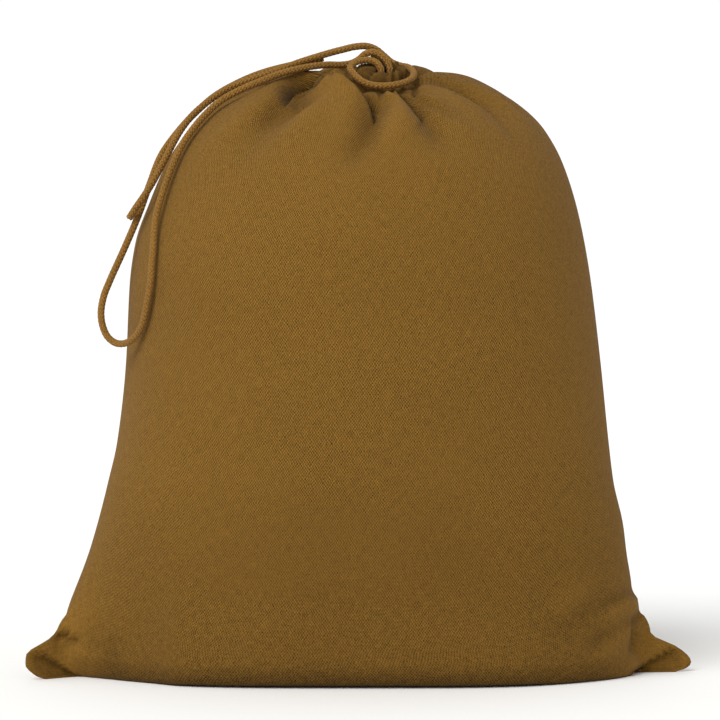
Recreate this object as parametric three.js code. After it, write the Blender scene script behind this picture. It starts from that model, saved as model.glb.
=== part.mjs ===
// Ditty bag: a plain drawstring bag of heavy cotton canvas. It stands full on its base, with the mouth drawn
// shut. A front and a back panel are seamed down both sides and along the bottom, and turned, so the two
// bottom corners stick out as flat ears. One round cotton cord runs in the hem: one end rings the gathered
// neck and trails over the left shoulder, the other trails beside it and hangs in a loop.
// Millimetres. X is to the right seen from the front, Y goes from front to back and Z is up. The origin is on
// the surface that the bag stands on.

import * as THREE from 'three';

// Driving dimensions
const panelHeight = 508;        // flat cloth of one panel, from the bottom seam to the mouth's edge
const bottomSeamLeft = -190;    // the bottom seam's ends, at the tips of the ears
const bottomSeamRight = 189;
const canvas = 1.6;             // thickness of the cloth
const seamGap = 0.4;            // clearance between the two panels along their seams
const earGap = 0.8;             // clearance where they lie flat together in an ear
const earFloor = 8;             // least height of cloth that the floor rows take up in an ear
const earStart = 1;             // reach of an ear past the body's side where its two cloths start to close
const earWhole = 8;             // reach from which they lie flat together
const cordDiameter = 4.4;
const cordSides = 8;
const cordStep = 11;            // length of cord in each straight piece of its tube
const canvasColour = 0x8a6634;
const cordColour = 0x9a6a35;

// Grid of one panel: strips from seam to seam, rows on the floor, and rows up each stretch of wall
const strips = 40;
const floorRows = 3;
const longestRow = 17;
const outlineSteps = 180;       // points worked out along each section, from which the strips are spaced

// Sections of the filled bag, from the edge of its base up over the shoulders, round the neck, over the
// puckered hem and down inside the mouth. height: middle of the section; left to back: its four sides;
// tipLeft, tipRight: tips of the ears; boxy: 2 for an ellipse, more for a squarer one; edge: 0.5 for round
// sides, nearer 1 for pinched ones; tilt: degrees that the section leans to the front.
const sectionColumns = [
  'height', 'left', 'right', 'front', 'back', 'tipLeft', 'tipRight', 'boxy', 'edge', 'tilt',
];
const sectionTable = [
  [0, -170, 167, -65, 66, -190, 189, 4.0, 0.74, 0],
  [2.5, -173, 169, -72, 73, -195, 196, 3.8, 0.74, 0],
  [9, -176, 171, -77, 78, -199.5, 200.5, 3.5, 0.72, 0],
  [16, -177, 172, -79, 79, -199, 197, 3.2, 0.69, 0],
  [24, -176, 172, -79.5, 80, -187, 181, 2.9, 0.65, 0],
  [33, -175, 170, -80, 81, -178, 172, 2.7, 0.61, 0],
  [44, -171.5, 166.5, -81, 82, -171.5, 166.5, 2.5, 0.57, 0],
  [68, -164, 163, -86, 86, -164, 163, 2.3, 0.52, 0],
  [92, -157, 160, -93, 92, -157, 160, 2.2, 0.5, 0],
  [117, -151, 155, -100, 98, -151, 155, 2.15, 0.5, 0],
  [141, -145.5, 152, -105, 103, -145.5, 152, 2.1, 0.5, 0],
  [189, -140, 147, -111.5, 110.5, -140, 147, 2.1, 0.5, 0],
  [238, -137.5, 141, -113.5, 113.5, -137.5, 141, 2.1, 0.5, 0],
  [262, -134, 137, -111.5, 112.5, -134, 137, 2.1, 0.5, 0],
  [286, -125.5, 131.6, -106, 107, -125.5, 131.6, 2.1, 0.5, 1],
  [310, -115, 123.6, -95.5, 95.5, -115, 123.6, 2.1, 0.5, 2],
  [322, -107.5, 117.6, -87, 87, -107.5, 117.6, 2.1, 0.5, 2.5],
  [334, -96.5, 109.2, -77, 76.5, -96.5, 109.2, 2.05, 0.5, 3],
  [345.5, -82.5, 96, -63.5, 63, -82.5, 96, 2.05, 0.5, 4.5],
  [352, -69, 85, -51.5, 50.5, -69, 85, 2, 0.5, 6.5],
  [357, -54.5, 72, -41, 40, -54.5, 72, 2, 0.5, 10],
  [360.3, -39.5, 58, -33, 30, -39.5, 58, 2, 0.5, 14],
  [361.4, -24, 46, -27, 22, -24, 46, 2, 0.5, 19],
  [359.4, -8, 36, -23.5, 16, -8, 36, 2, 0.5, 20],
  [360.8, -1.2, 29.2, -19.2, 11.4, -1.2, 29.2, 2, 0.5, 19],
  [364, -1.2, 29.2, -19.2, 11.4, -1.2, 29.2, 2, 0.5, 19],
  [366.2, -0.9, 28.9, -18.9, 11.1, -0.9, 28.9, 2, 0.5, 19],
  [367.7, 2.2, 27.8, -17, 9.4, 2.2, 27.8, 2, 0.5, 19],
  [368.2, 6, 25.8, -14, 6.8, 6, 25.8, 2, 0.5, 19],
  [367.6, 9.2, 24.3, -11.5, 4.8, 9.2, 24.3, 2, 0.5, 19],
  [362.9, 9.7, 23.8, -11, 4.3, 9.7, 23.8, 2, 0.5, 19],
];

// How far each ear bends to the front or back, from its root on X out to its tip, fading out above it
const earBends = [
  { root: -110, tip: -199.5, bend: -36 },
  { root: 110, tip: 200.5, bend: 20 },
];
const earBendHeight = 95;

// Folds that run down from the neck, as valleys in the cloth, or ridges where the depth is below nought.
// Places round the bag go from 0 at the left seam over the front to 1 at the right seam and on round the back
// to 2. atNeck, atBend and atEnd: where the fold starts, where it is once it has swung clear of the neck, and
// where it fades; reach: cloth from the neck to that end; width: its half width; zone: cloth below the neck
// over which it comes to its whole depth.
const foldColumns = ['atNeck', 'atBend', 'atEnd', 'reach', 'depth', 'width', 'zone'];
const foldTable = [
  [0.03, 0.27, 0.26, 110, 7, 0.045, 24],
  [0.15, 0.43, 0.42, 64, -9, 0.065, 9],
  [-0.06, 0.12, 0.16, 60, -3.5, 0.05, 14],
  [0.31, 0.52, 0.47, 110, 6, 0.033, 24],
  [0.6, 0.635, 0.66, 95, 5.5, 0.032, 24],
  [0.93, 0.86, 0.82, 85, 4.5, 0.04, 24],
  [1.18, 1.2, 1.17, 110, 6, 0.045, 24],
  [1.42, 1.38, 1.36, 90, 5, 0.04, 24],
  [1.58, 1.56, 1.57, 130, 7, 0.045, 24],
  [1.8, 1.76, 1.74, 90, 5, 0.045, 24],
];
const neckSection = 24;         // row of the section table that is the neck
const neckRelief = 1;           // deepest that a fold can be at the neck
const bendZone = 34;            // cloth over which they swing clear of the neck
const foldFade = 0.35;          // share of a fold's reach over which it keeps its depth
const shoulderHeight = 0.35;    // height of the soft shoulders beside a fold, as a share of its depth
const shoulderPlace = 1.9;      // their distance from its middle, in half widths
const shoulderSpread = 0.7;
const pleats = 5;               // small pleats of the hem, in each panel
const pleatDepth = 2.4;
const pleatReach = 26;
const pleatDrift = 0.3;         // how far the pleats wander from an even pitch

// The two ends of the drawstring outside the hem, as points along the middle of the cord from the mouth on.
// The ring end goes once round the neck, arches up and trails over the left shoulder to its cut end. The loop
// end bends over beside it, trails down the shoulder, hangs in a loop and comes back up to lie under the other.
const ringEndRoute = [
  [14.5, -5, 361], [14, -4.6, 366], [11.5, -3.6, 370], [7, -2.6, 371.6], [1.8, -2.8, 371.3],
  [-2.4, -4.6, 369.6], [-4.5, -8.2, 366.8], [-3.4, -12.2, 364.9], [-1, -16.2, 362.1], [3, -20.3, 359],
  [9, -22.6, 356.8], [16, -22.8, 356.4], [22.6, -21.2, 357], [28.4, -17.4, 358.4], [32.4, -12, 360.4],
  [33.8, -5.4, 363], [33, 1.2, 365.2], [30.4, 7, 367.2], [25.8, 11.6, 368.1], [20.5, 14.2, 370.2],
  [16, 14.6, 374], [11, 13.8, 378], [5.5, 12, 379.9], [-1.5, 10, 379.6], [-8.5, 8.6, 378],
  [-17, 7, 375.8], [-34.6, 7, 370.4], [-49, 6, 365], [-65.2, 4, 359.6], [-79, 1, 354],
  [-89.7, -3, 346.9], [-99.2, -8.5, 338.6], [-105.7, -14, 330.4], [-110.2, -19, 322.6], [-114, -23.5, 315],
  [-118, -26.5, 307.3], [-122.4, -29, 299], [-127.6, -29.5, 290.8], [-132.6, -27.5, 283.7], [-136.6, -25, 277.5],
];
const loopEndRoute = [
  [19.3, -0.2, 361], [19.6, 0.4, 366], [17.8, 1.6, 370.6], [14, 2.6, 374.4], [9.4, 3.4, 376.4],
  [4.6, 3.9, 375.2], [0.9, 4.2, 372], [-3.9, 4.4, 369.6], [-10.5, 3.6, 368.7], [-18, 1, 368.8],
  [-29, -3, 367.6], [-44, -9.9, 364.3], [-57.5, -16, 359.4], [-71.3, -18, 353.5], [-82, -19.5, 347.4],
  [-91, -23, 339.4], [-99.6, -29, 329.1], [-106.5, -35.5, 317.9], [-118.8, -48.5, 283], [-121.5, -57, 254.6],
  [-123, -58.5, 238.1], [-127.6, -52.5, 216.3], [-132, -46, 208.2], [-138.3, -40, 203.4], [-144.5, -35.5, 203.2],
  [-149.6, -32.5, 206.9], [-152.6, -31, 213.6], [-153.5, -30, 221.3], [-151.9, -29, 230.7], [-148.2, -28, 240.2],
  [-139.4, -26, 259.7], [-131.3, -21, 279], [-124.9, -12, 297.3], [-118, -1, 315], [-106, 8, 331.4],
  [-97.6, 11, 340.2], [-86.6, 13, 349.7], [-72.4, 13.5, 357.8], [-56.5, 13.5, 364.2], [-21, 14, 372.8],
];

const degrees = Math.PI / 180;

function smoothStep(low, high, value) {
  return THREE.MathUtils.smoothstep(value, low, high);
}

// A smooth curve through the rows of one column that never overshoots them
function columnCurve(places, values) {
  const slopes = values.slice(1).map((value, i) => (value - values[i]) / (places[i + 1] - places[i]));
  const tangents = values.map((_, i) => {
    if (i === 0 || i === values.length - 1) {
      return slopes[i === 0 ? 0 : i - 1];
    }
    const before = slopes[i - 1];
    const after = slopes[i];
    return before * after <= 0 ? 0 : (2 * before * after) / (before + after);
  });
  return (place) => {
    let i = 0;
    while (i < places.length - 2 && place > places[i + 1]) {
      i += 1;
    }
    const span = places[i + 1] - places[i];
    const t = (place - places[i]) / span;
    const t2 = t * t;
    const t3 = t2 * t;
    return (2 * t3 - 3 * t2 + 1) * values[i] + (t3 - 2 * t2 + t) * span * tangents[i]
      + (3 * t2 - 2 * t3) * values[i + 1] + (t3 - t2) * span * tangents[i + 1];
  };
}

// Cloth length of the wall up the middle of the front, from the base's edge to each section
const wallLengths = [0];
for (let i = 1; i < sectionTable.length; i += 1) {
  const rise = sectionTable[i][0] - sectionTable[i - 1][0];
  const run = sectionTable[i][3] - sectionTable[i - 1][3];
  wallLengths.push(wallLengths[i - 1] + Math.hypot(rise, run));
}
const wallLength = wallLengths[wallLengths.length - 1];
const neckLength = wallLengths[neckSection];
const columnCurves = sectionColumns.map((_, c) => columnCurve(wallLengths, sectionTable.map((row) => row[c])));

function sectionAt(length) {
  const section = {};
  sectionColumns.forEach((name, c) => {
    section[name] = columnCurves[c](length);
  });
  return section;
}

// Where the middle of the cloth lies at the ears, and the direction across it there, for a place on X
function earLine(x, z) {
  let bend = 0;
  let slope = 0;
  const held = 1 - smoothStep(earBendHeight / 3, earBendHeight, z);
  for (const ear of earBends) {
    const out = Math.max(0, (x - ear.root) / (ear.tip - ear.root));
    bend += ear.bend * out * out * held;
    slope += (2 * ear.bend * out * held) / (ear.tip - ear.root);
  }
  const across = new THREE.Vector3(-slope, 1, 0).normalize();
  return { bend, across };
}

// A point at x, set off the middle of the cloth by a depth, and bent with the ear
function bentPoint(x, depth, z) {
  const { bend, across } = earLine(x, z);
  return new THREE.Vector3(x + across.x * depth, bend + across.y * depth, z);
}

// 1 where the two panels lie flat together in an ear, 0 where the bag is round at its side
function earShare(section) {
  const earReach = Math.max(section.left - section.tipLeft, section.tipRight - section.right);
  return smoothStep(earStart, earWhole, earReach);
}

// Half the thickness of the two cloths and their gap at a seam, from lying open (0) to flat together (1)
function seamHalf(share) {
  return THREE.MathUtils.lerp(seamGap / 2, earGap / 2 + canvas, share);
}

// One panel's line round a section, from the left seam to the right one, as points an even step apart
function outline(section, side) {
  const middle = (section.left + section.right) / 2;
  const half = (section.right - section.left) / 2;
  const centre = (section.front + section.back) / 2;
  const reach = side < 0 ? centre - section.front : section.back - centre;
  const least = seamHalf(earShare(section));
  const points = [];
  if (section.tipLeft < section.left - seamGap) {
    points.push(new THREE.Vector2(section.tipLeft, centre + side * least));
  }
  for (let i = 0; i <= outlineSteps; i += 1) {
    const across = -Math.cos((Math.PI * i) / outlineSteps);
    const body = reach * (1 - Math.abs(across) ** section.boxy) ** section.edge;
    const out = (body ** 4 + least ** 4) ** 0.25;
    points.push(new THREE.Vector2(middle + half * across, centre + side * out));
  }
  if (section.tipRight > section.right + seamGap) {
    points.push(new THREE.Vector2(section.tipRight, centre + side * least));
  }
  return { points, centre };
}

// The point at a fraction of the way along a line of points
function pointAlong(points, fraction) {
  const lengths = [0];
  for (let i = 1; i < points.length; i += 1) {
    lengths.push(lengths[i - 1] + points[i].distanceTo(points[i - 1]));
  }
  const target = fraction * lengths[lengths.length - 1];
  let i = 1;
  while (i < points.length - 1 && lengths[i] < target) {
    i += 1;
  }
  const t = (target - lengths[i - 1]) / (lengths[i] - lengths[i - 1]);
  return points[i - 1].clone().lerp(points[i], t);
}

// A point of the wall: where the cloth is, at a fraction of the way across a panel and a length up the wall
function wallPoint(across, length, side) {
  const section = sectionAt(length);
  const { points, centre } = outline(section, side);
  const flat = pointAlong(points, across);
  const lean = section.tilt * degrees;
  const y = centre + (flat.y - centre) * Math.cos(lean);
  const z = section.height + (flat.y - centre) * Math.sin(lean);
  return bentPoint(flat.x, y, z);
}

// Depth of the base in front of or behind the bottom seam, at a fraction of the way across
function floorDepth(across, side) {
  const section = sectionAt(0);
  const edge = pointAlong(outline(section, side).points, across);
  return Math.max(0, Math.abs(edge.y) - seamGap / 2 - canvas);
}

// 1 where the bottom seam's two edges stand side by side in an ear, 0 where they lie open on the floor
function pinchAt(across, side) {
  return 1 - smoothStep(0, earFloor, floorDepth(across, side));
}

// A point of the panel at a distance up its cloth from the bottom seam
function clothPoint(across, up, side) {
  const depth = floorDepth(across, side);
  if (up > 0 && up >= depth) {
    return wallPoint(across, wallLengthAt(across, up, side), side);
  }
  const seamX = THREE.MathUtils.lerp(bottomSeamLeft, bottomSeamRight, across);
  const seamPoint = bentPoint(seamX, side * seamHalf(pinchAt(across, side)), 0);
  return depth > 0 ? seamPoint.lerp(wallPoint(across, 0, side), up / depth) : seamPoint;
}

// Length up the wall's sections that a distance up the cloth comes to
function wallLengthAt(across, up, side) {
  const depth = floorDepth(across, side);
  return Math.max(0, ((up - depth) / (panelHeight - depth)) * wallLength);
}

const folds = foldTable.map((row) => Object.fromEntries(foldColumns.map((name, c) => [name, row[c]])));

// Shortest way round the bag from one place to another
function turnBetween(from, to) {
  const turn = to - from;
  return turn - 2 * Math.round(turn / 2);
}

// Height of the folds and pleats over the smooth cloth
function relief(round, length) {
  const belowNeck = Math.max(0, neckLength - length);
  let height = 0;
  for (const fold of folds) {
    const swing = fold.atNeck + (fold.atBend - fold.atNeck) * smoothStep(0, bendZone, belowNeck);
    const place = swing + (fold.atEnd - fold.atBend) * smoothStep(bendZone, fold.reach, belowNeck);
    const least = Math.sign(fold.depth) * Math.min(neckRelief, Math.abs(fold.depth));
    const depth = THREE.MathUtils.lerp(least, fold.depth, smoothStep(0, fold.zone, belowNeck));
    const fade = 1 - smoothStep(foldFade * fold.reach, fold.reach, belowNeck);
    const x = Math.abs(turnBetween(place, round)) / fold.width;
    const shoulder = Math.exp(-((x - shoulderPlace) ** 2) / shoulderSpread);
    height -= depth * fade * (Math.exp(-x * x) - shoulderHeight * shoulder);
  }
  const pleating = 1 - smoothStep(0, pleatReach, belowNeck);
  const drift = pleatDrift * Math.sin(3 * Math.PI * round);
  const wave = 0.5 - 0.5 * Math.cos(2 * Math.PI * (pleats * round + drift));
  return height - pleatDepth * pleating * wave;
}

// Distances up the cloth of the rows of points, at a fraction of the way across
function rowsUp(across, side) {
  const depth = Math.max(earFloor, floorDepth(across, side));
  const rows = [];
  for (let i = 0; i < floorRows; i += 1) {
    rows.push((depth * i) / floorRows);
  }
  for (let i = 1; i < wallLengths.length; i += 1) {
    const pieces = Math.ceil((wallLengths[i] - wallLengths[i - 1]) / longestRow);
    for (let p = 0; p < pieces; p += 1) {
      const length = THREE.MathUtils.lerp(wallLengths[i - 1], wallLengths[i], p / pieces);
      rows.push(depth + (length / wallLength) * (panelHeight - depth));
    }
  }
  rows.push(panelHeight);
  return rows;
}

// Outward direction of the smooth cloth at each point of a grid
function gridNormals(grid, side) {
  return grid.map((line, i) => line.map((_, j) => {
    const before = grid[Math.max(0, i - 1)][j];
    const after = grid[Math.min(grid.length - 1, i + 1)][j];
    const below = line[Math.max(0, j - 1)];
    const above = line[Math.min(line.length - 1, j + 1)];
    const across = after.clone().sub(before);
    const up = above.clone().sub(below);
    return across.cross(up).normalize().multiplyScalar(-side);
  }));
}

// Turns the direction at a seam so that the cloth's edge there lies square to the seam's own plane
function squareToSeam(normal, point, side, share) {
  const { across } = earLine(point.x, point.z);
  normal.addScaledVector(across, -normal.dot(across)).normalize().multiplyScalar(Math.sqrt(1 - share * share));
  normal.addScaledVector(across, side * share);
}

// A closed sheet between an outer and an inner grid of points
function sheetGeometry(outer, inner, side) {
  const columns = outer.length;
  const rows = outer[0].length;
  const positions = [];
  outer.flat().concat(inner.flat()).forEach((point) => positions.push(point.x, point.y, point.z));
  const index = [];
  const quad = (a, b, c, d) => {
    if (side < 0) {
      index.push(a, b, c, a, c, d);
    } else {
      index.push(a, c, b, a, d, c);
    }
  };
  const at = (i, j, layer) => layer * columns * rows + i * rows + j;
  for (let i = 0; i < columns - 1; i += 1) {
    for (let j = 0; j < rows - 1; j += 1) {
      quad(at(i, j, 0), at(i + 1, j, 0), at(i + 1, j + 1, 0), at(i, j + 1, 0));
      quad(at(i, j, 1), at(i, j + 1, 1), at(i + 1, j + 1, 1), at(i + 1, j, 1));
    }
    quad(at(i, 0, 1), at(i + 1, 0, 1), at(i + 1, 0, 0), at(i, 0, 0));
    quad(at(i, rows - 1, 0), at(i + 1, rows - 1, 0), at(i + 1, rows - 1, 1), at(i, rows - 1, 1));
  }
  for (let j = 0; j < rows - 1; j += 1) {
    quad(at(0, j, 1), at(0, j, 0), at(0, j + 1, 0), at(0, j + 1, 1));
    quad(at(columns - 1, j, 0), at(columns - 1, j, 1), at(columns - 1, j + 1, 1), at(columns - 1, j + 1, 0));
  }
  const geometry = new THREE.BufferGeometry();
  geometry.setAttribute('position', new THREE.Float32BufferAttribute(positions, 3));
  geometry.setIndex(index);
  geometry.computeVertexNormals();
  return geometry;
}

// One panel, front (side -1) or back (side 1)
function panel(name, side) {
  const smooth = [];
  const heights = [];
  for (let i = 0; i <= strips; i += 1) {
    const across = i / strips;
    const round = side < 0 ? across : 2 - across;
    const rows = rowsUp(across, side);
    smooth.push(rows.map((up) => clothPoint(across, up, side)));
    heights.push(rows.map((up) => relief(round, wallLengthAt(across, up, side))));
  }
  const normals = gridNormals(smooth, side);
  for (const i of [0, strips]) {
    normals[i].forEach((normal, j) => {
      const section = sectionAt(wallLengthAt(i / strips, rowsUp(i / strips, side)[j], side));
      squareToSeam(normal, smooth[i][j], side, earShare(section));
    });
  }
  normals.forEach((line, i) => squareToSeam(line[0], smooth[i][0], side, pinchAt(i / strips, side)));
  const outer = smooth.map((line, i) => line.map((point, j) => (
    point.clone().addScaledVector(normals[i][j], heights[i][j])
  )));
  const inner = outer.map((line, i) => line.map((point, j) => {
    const back = point.clone().addScaledVector(normals[i][j], -canvas);
    back.z = Math.max(0, back.z);
    return back;
  }));
  const material = new THREE.MeshStandardMaterial({ color: canvasColour, roughness: 0.95, metalness: 0 });
  const mesh = new THREE.Mesh(sheetGeometry(outer, inner, side), material);
  mesh.name = name;
  return mesh;
}

// One end of the drawstring, as a round cord along its route
function cord(name, route) {
  const points = route.map((point) => new THREE.Vector3(...point));
  const path = new THREE.CatmullRomCurve3(points, false, 'centripetal');
  const section = new THREE.Shape();
  for (let i = 0; i < cordSides; i += 1) {
    const turn = (2 * Math.PI * i) / cordSides;
    const point = new THREE.Vector2(Math.cos(turn), Math.sin(turn)).multiplyScalar(cordDiameter / 2);
    if (i === 0) {
      section.moveTo(point.x, point.y);
    } else {
      section.lineTo(point.x, point.y);
    }
  }
  const steps = Math.round(path.getLength() / cordStep);
  const geometry = new THREE.ExtrudeGeometry(section, { steps, extrudePath: path, curveSegments: 1 });
  const material = new THREE.MeshStandardMaterial({ color: cordColour, roughness: 0.9, metalness: 0 });
  const mesh = new THREE.Mesh(geometry, material);
  mesh.name = name;
  return mesh;
}

const bag = new THREE.Group();
bag.add(panel('front_panel', -1));
bag.add(panel('back_panel', 1));
bag.add(cord('cord_ring_end', ringEndRoute));
bag.add(cord('cord_loop_end', loopEndRoute));

export default bag;
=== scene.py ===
# Ditty bag: two panels of washed cotton canvas, seamed and turned, standing full, with the mouth drawn shut.
# One braided cord comes out of the mouth at both its ends. Metres, +Z up, seen from the front along +Y.
import math
import bpy
import numpy as np
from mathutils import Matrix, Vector


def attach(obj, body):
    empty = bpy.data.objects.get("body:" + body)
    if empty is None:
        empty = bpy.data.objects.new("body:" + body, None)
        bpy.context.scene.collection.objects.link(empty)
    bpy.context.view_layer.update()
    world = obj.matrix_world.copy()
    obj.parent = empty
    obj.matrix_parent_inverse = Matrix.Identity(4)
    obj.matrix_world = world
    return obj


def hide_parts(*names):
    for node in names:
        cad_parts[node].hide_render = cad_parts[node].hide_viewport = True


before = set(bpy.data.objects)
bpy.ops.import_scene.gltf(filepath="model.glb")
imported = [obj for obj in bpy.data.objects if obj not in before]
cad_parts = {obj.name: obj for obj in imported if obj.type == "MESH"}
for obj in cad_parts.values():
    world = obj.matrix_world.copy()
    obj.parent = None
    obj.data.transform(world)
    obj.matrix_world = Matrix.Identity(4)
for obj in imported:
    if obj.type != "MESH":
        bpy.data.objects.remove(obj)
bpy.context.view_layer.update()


def toLinear(hexColour):
    channels = [int(hexColour[i:i + 2], 16) / 255 for i in (1, 3, 5)]
    return tuple(c / 12.92 if c <= 0.04045 else ((c + 0.055) / 1.055) ** 2.4 for c in channels) + (1.0,)


# adds a node, with its settings, and with values or other nodes' sockets on its inputs, and gives one of its
# outputs, or the node itself
def addNode(tree, kind, inputs=None, out=0, **settings):
    node = tree.nodes.new(kind)
    for name, value in settings.items():
        setattr(node, name, value)
    for key, value in (inputs or {}).items():
        if isinstance(value, bpy.types.NodeSocket):
            tree.links.new(value, node.inputs[key])
        else:
            node.inputs[key].default_value = value
    return node if out is None else node.outputs[out]


def newMaterial(name):
    material = bpy.data.materials.new(name)
    material.use_nodes = True
    material.node_tree.nodes.clear()
    return material


def makeObject(name, data, material=None):
    piece = bpy.data.objects.new(name, data)
    bpy.context.scene.collection.objects.link(piece)
    if material:
        data.materials.append(material)
    return piece


# Camera, at the photo's angle

photo = {
    "span": 0.4356,                    # width of the frame at the middle of the bag
    "distance": 3.0,
    "elevation": 4.0,                  # degrees
    "aim": (0.0015, 0.0, 0.1905),
    "sensor": 36.0,
}


# where points lie as the camera sees them, in metres from the middle of the picture
def seenPlace(points):
    rise = math.radians(photo["elevation"])
    across, deep, up = (points[..., k] - photo["aim"][k] for k in range(3))
    away = deep * math.cos(rise) - up * math.sin(rise)
    nearer = photo["distance"] / (photo["distance"] + away)
    return across * nearer, (deep * math.sin(rise) + up * math.cos(rise)) * nearer


def makeCamera():
    data = bpy.data.cameras.new("photoCamera")
    data.sensor_width = photo["sensor"]
    data.lens = photo["sensor"] * photo["distance"] / photo["span"]
    camera = makeObject("photoCamera", data)
    rise = math.radians(photo["elevation"])
    back = Vector((0, -math.cos(rise), math.sin(rise)))
    camera.location = Vector(photo["aim"]) + back * photo["distance"]
    camera.rotation_euler = (-back).to_track_quat("-Z", "Y").to_euler()
    bpy.context.scene.camera = camera


# Drawstring: each end as it lies outside the mouth, as points along the middle of the cord

cord = {
    "diameter": 0.0044,
    "strands": 6,                      # in each direction of the braid
    "lay": 0.0150,                     # length of one turn of a strand
    "strandWidth": 0.0018,
    "strandThickness": 0.0007,
    "lift": 0.00014,                   # how far a strand rises and dips where two of them cross
    "step": 0.00055,
    "curveSteps": 20,                  # in each stretch of a route, before it is cut into even steps
    "colour": "#8c6428",
    "paintedShade": "#4c3511",                 # painted shade, where a strand dips under another
    "fibre": 0.0009,                   # size of the fibres' mottle, its least and most light, and its relief
    "fibreLight": (0.66, 1.26),
    "fibreHeight": 0.0002,
    "patch": 0.03,                     # the same for the faded patches
    "patchLight": (0.93, 1.06),
}
ringEndRoute = [
    (0.0145, -0.005, 0.361), (0.014, -0.0046, 0.366), (0.0115, -0.0036, 0.37), (0.007, -0.0026, 0.3716),
    (0.0018, -0.0028, 0.3713), (-0.0024, -0.0046, 0.3696), (-0.0045, -0.0082, 0.3668),
    (-0.0034, -0.0122, 0.3649), (-0.001, -0.0162, 0.3621), (0.003, -0.0203, 0.359),
    (0.009, -0.0226, 0.3568), (0.016, -0.0228, 0.3564), (0.0226, -0.0212, 0.357),
    (0.0284, -0.0174, 0.3584), (0.0324, -0.012, 0.3604), (0.0338, -0.0054, 0.363), (0.033, 0.0012, 0.3652),
    (0.0304, 0.007, 0.3672), (0.0258, 0.0116, 0.3681), (0.0205, 0.0142, 0.3702), (0.016, 0.0146, 0.374),
    (0.011, 0.0138, 0.378), (0.0055, 0.012, 0.3799), (-0.0015, 0.01, 0.3796), (-0.0085, 0.0086, 0.378),
    (-0.017, 0.007, 0.3758), (-0.0346, 0.007, 0.3704), (-0.049, 0.006, 0.365), (-0.0652, 0.004, 0.3596),
    (-0.079, 0.001, 0.354), (-0.0897, -0.003, 0.3469), (-0.0992, -0.0085, 0.3386),
    (-0.1057, -0.014, 0.3304), (-0.1102, -0.019, 0.3226), (-0.114, -0.0235, 0.315),
    (-0.118, -0.0265, 0.3073), (-0.1224, -0.029, 0.299), (-0.1276, -0.0295, 0.2908),
    (-0.1326, -0.0275, 0.2837), (-0.1366, -0.025, 0.2775),
]
loopEndRoute = [
    (0.0193, -0.0002, 0.361), (0.0196, 0.0004, 0.366), (0.0178, 0.0016, 0.3706), (0.014, 0.0026, 0.3744),
    (0.0094, 0.0034, 0.3764), (0.0046, 0.0039, 0.3752), (0.0009, 0.0042, 0.372), (-0.0039, 0.0044, 0.3696),
    (-0.0105, 0.0036, 0.3687), (-0.018, 0.001, 0.3688), (-0.029, -0.003, 0.3676),
    (-0.044, -0.0099, 0.3643), (-0.0575, -0.016, 0.3594), (-0.0713, -0.018, 0.3535),
    (-0.082, -0.0195, 0.3474), (-0.091, -0.023, 0.3394), (-0.0996, -0.029, 0.3291),
    (-0.1065, -0.0355, 0.3179), (-0.1188, -0.0485, 0.283), (-0.1215, -0.057, 0.2546),
    (-0.123, -0.0585, 0.2381), (-0.1276, -0.0525, 0.2163), (-0.132, -0.046, 0.2082),
    (-0.1383, -0.04, 0.2034), (-0.1445, -0.0355, 0.2032), (-0.1496, -0.0325, 0.2069),
    (-0.1526, -0.031, 0.2136), (-0.1535, -0.03, 0.2213), (-0.1519, -0.029, 0.2307),
    (-0.1482, -0.028, 0.2402), (-0.1394, -0.026, 0.2597), (-0.1313, -0.021, 0.279),
    (-0.1249, -0.012, 0.2973), (-0.118, -0.001, 0.315), (-0.106, 0.008, 0.3314), (-0.0976, 0.011, 0.3402),
    (-0.0866, 0.013, 0.3497), (-0.0724, 0.0135, 0.3578), (-0.0565, 0.0135, 0.3642),
    (-0.021, 0.014, 0.3728),
]


# points a small step apart on the smooth curve through a route
def smoothRoute(route, step):
    points = [np.array(p, float) for p in route]
    points = [2 * points[0] - points[1]] + points + [2 * points[-1] - points[-2]]
    fine = []
    for p0, p1, p2, p3 in zip(points, points[1:], points[2:], points[3:]):
        d0, d1, d2 = (max(np.linalg.norm(b - a), 1e-6) ** 0.5 for a, b in ((p0, p1), (p1, p2), (p2, p3)))
        leave = ((p1 - p0) / d0 - (p2 - p0) / (d0 + d1) + (p2 - p1) / d1) * d1
        arrive = ((p2 - p1) / d1 - (p3 - p1) / (d1 + d2) + (p3 - p2) / d2) * d1
        for t in np.arange(0, 1, 1 / cord["curveSteps"]):
            a, b = 2 * t ** 3 - 3 * t ** 2 + 1, t ** 3 - 2 * t ** 2 + t
            c, d = -2 * t ** 3 + 3 * t ** 2, t ** 3 - t ** 2
            fine.append(a * p1 + b * leave + c * p2 + d * arrive)
    fine.append(points[-2])
    fine = np.array(fine)
    lengths = np.concatenate([[0], np.cumsum(np.linalg.norm(np.diff(fine, axis=0), axis=1))])
    places = np.linspace(0, lengths[-1], max(2, round(lengths[-1] / step)) + 1)
    return np.stack([np.interp(places, lengths, fine[:, k]) for k in range(3)], axis=1), lengths[-1]


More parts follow.
